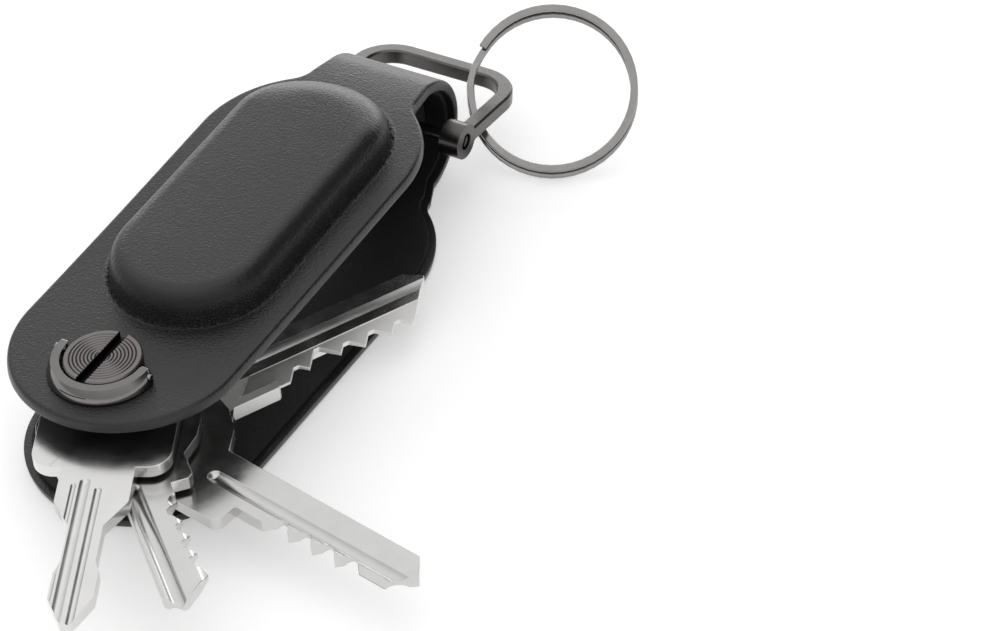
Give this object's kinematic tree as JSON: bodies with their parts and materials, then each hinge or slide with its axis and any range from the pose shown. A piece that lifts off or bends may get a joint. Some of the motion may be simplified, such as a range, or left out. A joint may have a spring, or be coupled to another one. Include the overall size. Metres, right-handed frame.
{
  "type": "key organizer",
  "caption": "Folded leather key organizer with a padded dome, keys fanned on a slotted post screw with a fold-down bail, and a shackle carrying a split ring",
  "frame": {"origin": "on the post's axis, at the outer face of the post's flange, which is flush with the back leaf", "axes": "+X from the post to the fold and its shackle, +Y to the left looking along +X, +Z out of the front leaf"},
  "size_m": [0.1461, 0.0718, 0.0254],
  "materials": {
    "leather": "fine grain, satin",
    "lining": "matte",
    "padding": "matte",
    "gunmetal": "satin, dark",
    "nickel": "bright, milled",
    "nylon": "matte"
  },
  "bodies": {
    "case": {"cover_leather": "leather", "cover_lining": "lining", "dome_padding": "padding", "fold_core": "nylon", "post_barrel": "gunmetal", "bottom_spacer": "nylon", "key_washer_1": "nylon", "key_washer_2": "nylon", "key_washer_3": "nylon", "top_spacer": "nylon"},
    "screw": {"post_screw": "gunmetal", "bail_pin_left": "gunmetal", "bail_pin_right": "gunmetal"},
    "bail": {"screw_bail": "gunmetal"},
    "key_1": {"key_1": "nickel"},
    "key_2": {"key_2": "nickel"},
    "key_3": {"key_3": "nickel"},
    "key_4": {"key_4": "nickel"},
    "shackle": {"shackle_loop": "gunmetal", "shackle_pin": "gunmetal"},
    "ring": {"split_ring": "gunmetal"}
  },
  "joints": [
    {"name": "screw_turn", "type": "hinge", "parent": "case", "child": "screw", "pos_m": [0, 0, 0], "axis": [0, 0, 1], "continuous": true},
    {"name": "bail_fold", "type": "hinge", "parent": "screw", "child": "bail", "pos_m": [0, 0, 0.02115], "axis": [0, 1, 0], "range_deg": [0, 180]},
    {"name": "key_1_swing", "type": "hinge", "parent": "case", "child": "key_1", "pos_m": [0, 0, 0], "axis": [0, 0, 1], "continuous": true},
    {"name": "key_2_swing", "type": "hinge", "parent": "case", "child": "key_2", "pos_m": [0, 0, 0], "axis": [0, 0, 1], "continuous": true},
    {"name": "key_3_swing", "type": "hinge", "parent": "case", "child": "key_3", "pos_m": [0, 0, 0], "axis": [0, 0, 1], "continuous": true},
    {"name": "key_4_swing", "type": "hinge", "parent": "case", "child": "key_4", "pos_m": [0, 0, 0], "axis": [0, 0, 1], "continuous": true},
    {"name": "shackle_swing", "type": "hinge", "parent": "case", "child": "shackle", "pos_m": [0.0768, 0, 0.0104], "axis": [0, -1, 0], "range_deg": [-65, 100]},
    {"name": "ring_swing", "type": "hinge", "parent": "shackle", "child": "ring", "pos_m": [0.0768, -0.01265, 0.0104], "axis": [-0.9914, 0, 0.1305], "range_deg": [-25, 30]}
  ]
}
